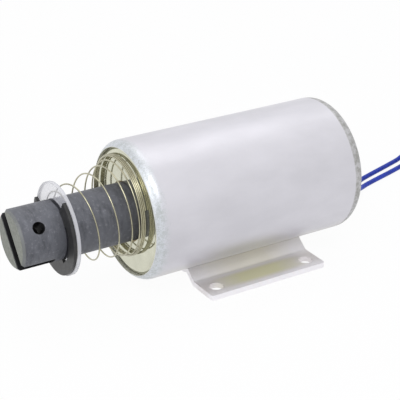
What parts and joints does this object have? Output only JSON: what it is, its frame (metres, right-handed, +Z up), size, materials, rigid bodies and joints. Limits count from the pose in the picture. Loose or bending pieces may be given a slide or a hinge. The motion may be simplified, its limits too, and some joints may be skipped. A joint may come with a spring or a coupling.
{
  "type": "push pull solenoid",
  "caption": "Tubular push pull solenoid on a saddle base, with a slotted clevis plunger held out by a conical return spring, and free leads.",
  "frame": {"origin": "centre of the base's four mounting holes, on the underside of its flanges", "axes": "+Z up, away from the surface it stands on; -X along the plunger, towards its slotted tip"},
  "size_m": [0.2327, 0.0697, 0.0552],
  "materials": {
    "bright_zinc": "satin bright zinc plate with a faint iridescent sheen",
    "yellow_zinc": "bright plate with a pale yellow tint, mirror smooth",
    "tube_brass": "drawn brass",
    "soft_iron": "bare turned soft iron",
    "bobbin_nylon": "natural moulded nylon",
    "copper_wire": "enamelled copper wire",
    "film_tape": "yellow film tape",
    "fibre_board": "vulcanised fibre",
    "spacer_nylon": "black moulded nylon",
    "tinned_metal": "tinned copper",
    "lead_insulation": "blue wire insulation",
    "black_rubber": "moulded rubber",
    "base_zinc": "bright zinc plate, yellow on its level faces",
    "spring_steel": "plated spring wire",
    "washer_nylon": "translucent natural nylon",
    "black_spring_steel": "black phosphate and oil",
    "phosphate_steel": "dark grey phosphate, mottled",
    "tie_nylon": "black twist tie"
  },
  "bodies": {
    "housing": {"case_shell": "bright_zinc", "front_plate": "yellow_zinc", "rear_plate": "yellow_zinc", "guide_tube": "tube_brass", "pole_piece": "soft_iron", "stop_shim": "tube_brass", "bobbin": "bobbin_nylon", "winding": "copper_wire", "winding_tape": "film_tape", "front_insulator": "fibre_board", "rear_spacer": "spacer_nylon", "coil_terminal_1": "tinned_metal", "coil_terminal_2": "tinned_metal", "inner_lead_1": "lead_insulation", "inner_lead_2": "lead_insulation", "lead_grommet": "black_rubber", "mounting_base": "base_zinc", "return_spring": "spring_steel", "lead_1": "lead_insulation", "lead_2": "lead_insulation", "lead_1_coil": "lead_insulation", "lead_2_coil": "lead_insulation", "lead_1_strands": "tinned_metal", "lead_2_strands": "tinned_metal", "coil_tie": "tie_nylon"},
    "spring_seat": {"spring_washer": "washer_nylon"},
    "plunger": {"plunger": "phosphate_steel", "retaining_ring": "black_spring_steel"}
  },
  "joints": [
    {"name": "plunger_stroke", "type": "slide", "parent": "housing", "child": "spring_seat", "axis": [1, 0, 0], "range_m": [0, 0.01905], "stiffness_N_per_m": 10, "springref_m": -0.01, "deforming": ["return_spring"]},
    {"name": "plunger_spin", "type": "hinge", "parent": "spring_seat", "child": "plunger", "pos_m": [-0.0811, 0, 0.0298], "axis": [1, 0, 0], "continuous": true}
  ]
}
